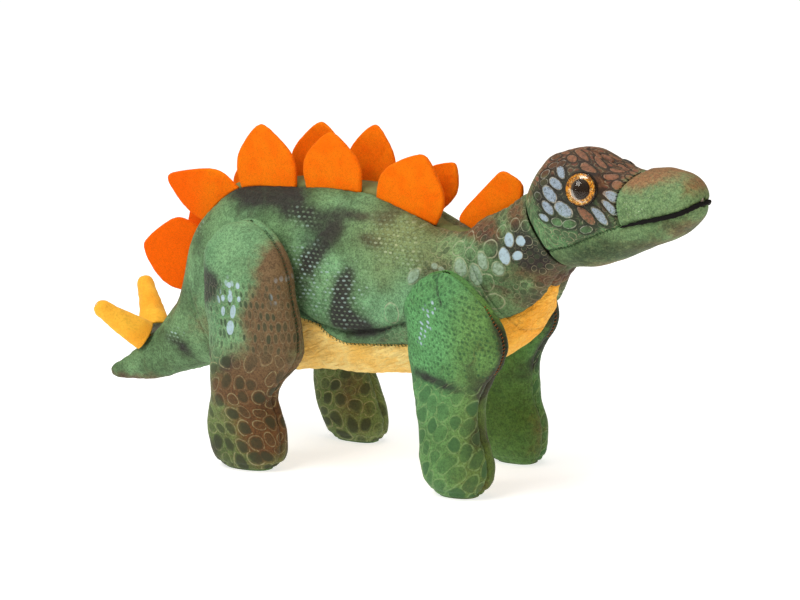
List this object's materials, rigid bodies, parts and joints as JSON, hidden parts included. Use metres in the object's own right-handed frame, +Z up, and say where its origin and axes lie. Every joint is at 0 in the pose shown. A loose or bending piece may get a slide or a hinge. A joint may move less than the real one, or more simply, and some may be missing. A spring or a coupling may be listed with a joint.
{
  "type": "stuffed toy dinosaur",
  "caption": "Standing stuffed stegosaurus sewn from scale-print plush, with sewn-on legs, a turning neck, nodding head, swaying tail, felt back plates and safety eyes.",
  "frame": {"origin": "on the ground under the middle of the toy's box", "axes": "+X to the snout, +Y to the toy's left, +Z up"},
  "size_m": [0.3195, 0.1034, 0.1607],
  "materials": {
    "scale_plush": "low-pile plush with a printed scale pattern, slight sheen",
    "leg_plush": "low-pile plush with a printed scale pattern, slight sheen",
    "muzzle_plush": "fine low-pile plush",
    "crown_plush": "low-pile plush with large printed scales",
    "olive_plush": "plain low-pile plush",
    "belly_plush": "plain yellow plush",
    "yellow_plush": "plain yellow plush",
    "orange_felt": "dense felt, matte",
    "stuffing": "loose polyester fibre",
    "black_trim": "black cord",
    "black_plastic": "polished",
    "gold_iris": "gold glitter",
    "clear_lens": "clear moulded lens",
    "white_plastic": "as moulded"
  },
  "bodies": {
    "torso": {"torso_side_left": "scale_plush", "torso_side_right": "scale_plush", "back_gusset": "olive_plush", "belly_panel": "belly_plush", "torso_stuffing": "stuffing", "plate_right_1": "orange_felt", "plate_right_2": "orange_felt", "plate_right_3": "orange_felt", "plate_right_4": "orange_felt", "plate_right_5": "orange_felt", "plate_left_1": "orange_felt", "plate_left_2": "orange_felt", "plate_left_3": "orange_felt", "plate_left_4": "orange_felt", "plate_left_5": "orange_felt"},
    "neck": {"neck_side_left": "scale_plush", "neck_side_right": "scale_plush", "neck_stuffing": "stuffing", "plate_neck": "orange_felt"},
    "head": {"crown_left": "crown_plush", "crown_right": "crown_plush", "snout_panel": "muzzle_plush", "jaw_panel": "muzzle_plush", "mouth_line": "black_trim", "head_stuffing": "stuffing", "eye_dome_left": "clear_lens", "eye_iris_left": "gold_iris", "eye_stem_left": "black_plastic", "eye_washer_left": "white_plastic", "eye_dome_right": "clear_lens", "eye_iris_right": "gold_iris", "eye_stem_right": "black_plastic", "eye_washer_right": "white_plastic"},
    "tail": {"tail_side_left": "scale_plush", "tail_side_right": "scale_plush", "tail_stuffing": "stuffing", "spike_left": "yellow_plush", "spike_left_stuffing": "stuffing", "spike_right": "yellow_plush", "spike_right_stuffing": "stuffing"},
    "hind_left_leg": {"hind_left_outer": "leg_plush", "hind_left_inner": "leg_plush", "hind_left_sole": "leg_plush", "hind_left_stuffing": "stuffing"},
    "hind_right_leg": {"hind_right_outer": "leg_plush", "hind_right_inner": "leg_plush", "hind_right_sole": "leg_plush", "hind_right_stuffing": "stuffing"},
    "front_left_leg": {"front_left_outer": "leg_plush", "front_left_inner": "leg_plush", "front_left_sole": "leg_plush", "front_left_stuffing": "stuffing"},
    "front_right_leg": {"front_right_outer": "leg_plush", "front_right_inner": "leg_plush", "front_right_sole": "leg_plush", "front_right_stuffing": "stuffing"}
  },
  "joints": [
    {"name": "neck_turn", "type": "hinge", "parent": "torso", "child": "neck", "pos_m": [0.06, 0, 0.105], "axis": [-0.682, 0, 0.7314], "range_deg": [-15, 15], "stiffness_Nm_per_rad": 1},
    {"name": "head_nod", "type": "hinge", "parent": "neck", "child": "head", "pos_m": [0.0743, 0, 0.1185], "axis": [0, 1, 0], "range_deg": [-10, 10], "stiffness_Nm_per_rad": 1},
    {"name": "tail_sway", "type": "hinge", "parent": "torso", "child": "tail", "pos_m": [-0.1105, 0, 0.055], "axis": [-0.4848, 0, 0.8746], "range_deg": [-15, 15], "stiffness_Nm_per_rad": 0.2},
    {"name": "hind_left_swing", "type": "hinge", "parent": "torso", "child": "hind_left_leg", "pos_m": [-0.068, 0.0396, 0.084], "axis": [0, 1, 0], "range_deg": [-15, 15], "stiffness_Nm_per_rad": 1},
    {"name": "hind_right_swing", "type": "hinge", "parent": "torso", "child": "hind_right_leg", "pos_m": [-0.068, -0.0396, 0.084], "axis": [0, 1, 0], "range_deg": [-15, 15], "stiffness_Nm_per_rad": 1},
    {"name": "front_left_swing", "type": "hinge", "parent": "torso", "child": "front_left_leg", "pos_m": [0.025, 0.0396, 0.078], "axis": [0, 1, 0], "range_deg": [-15, 15], "stiffness_Nm_per_rad": 1},
    {"name": "front_right_swing", "type": "hinge", "parent": "torso", "child": "front_right_leg", "pos_m": [0.045, -0.0396, 0.078], "axis": [0, 1, 0], "range_deg": [-15, 15], "stiffness_Nm_per_rad": 1}
  ]
}
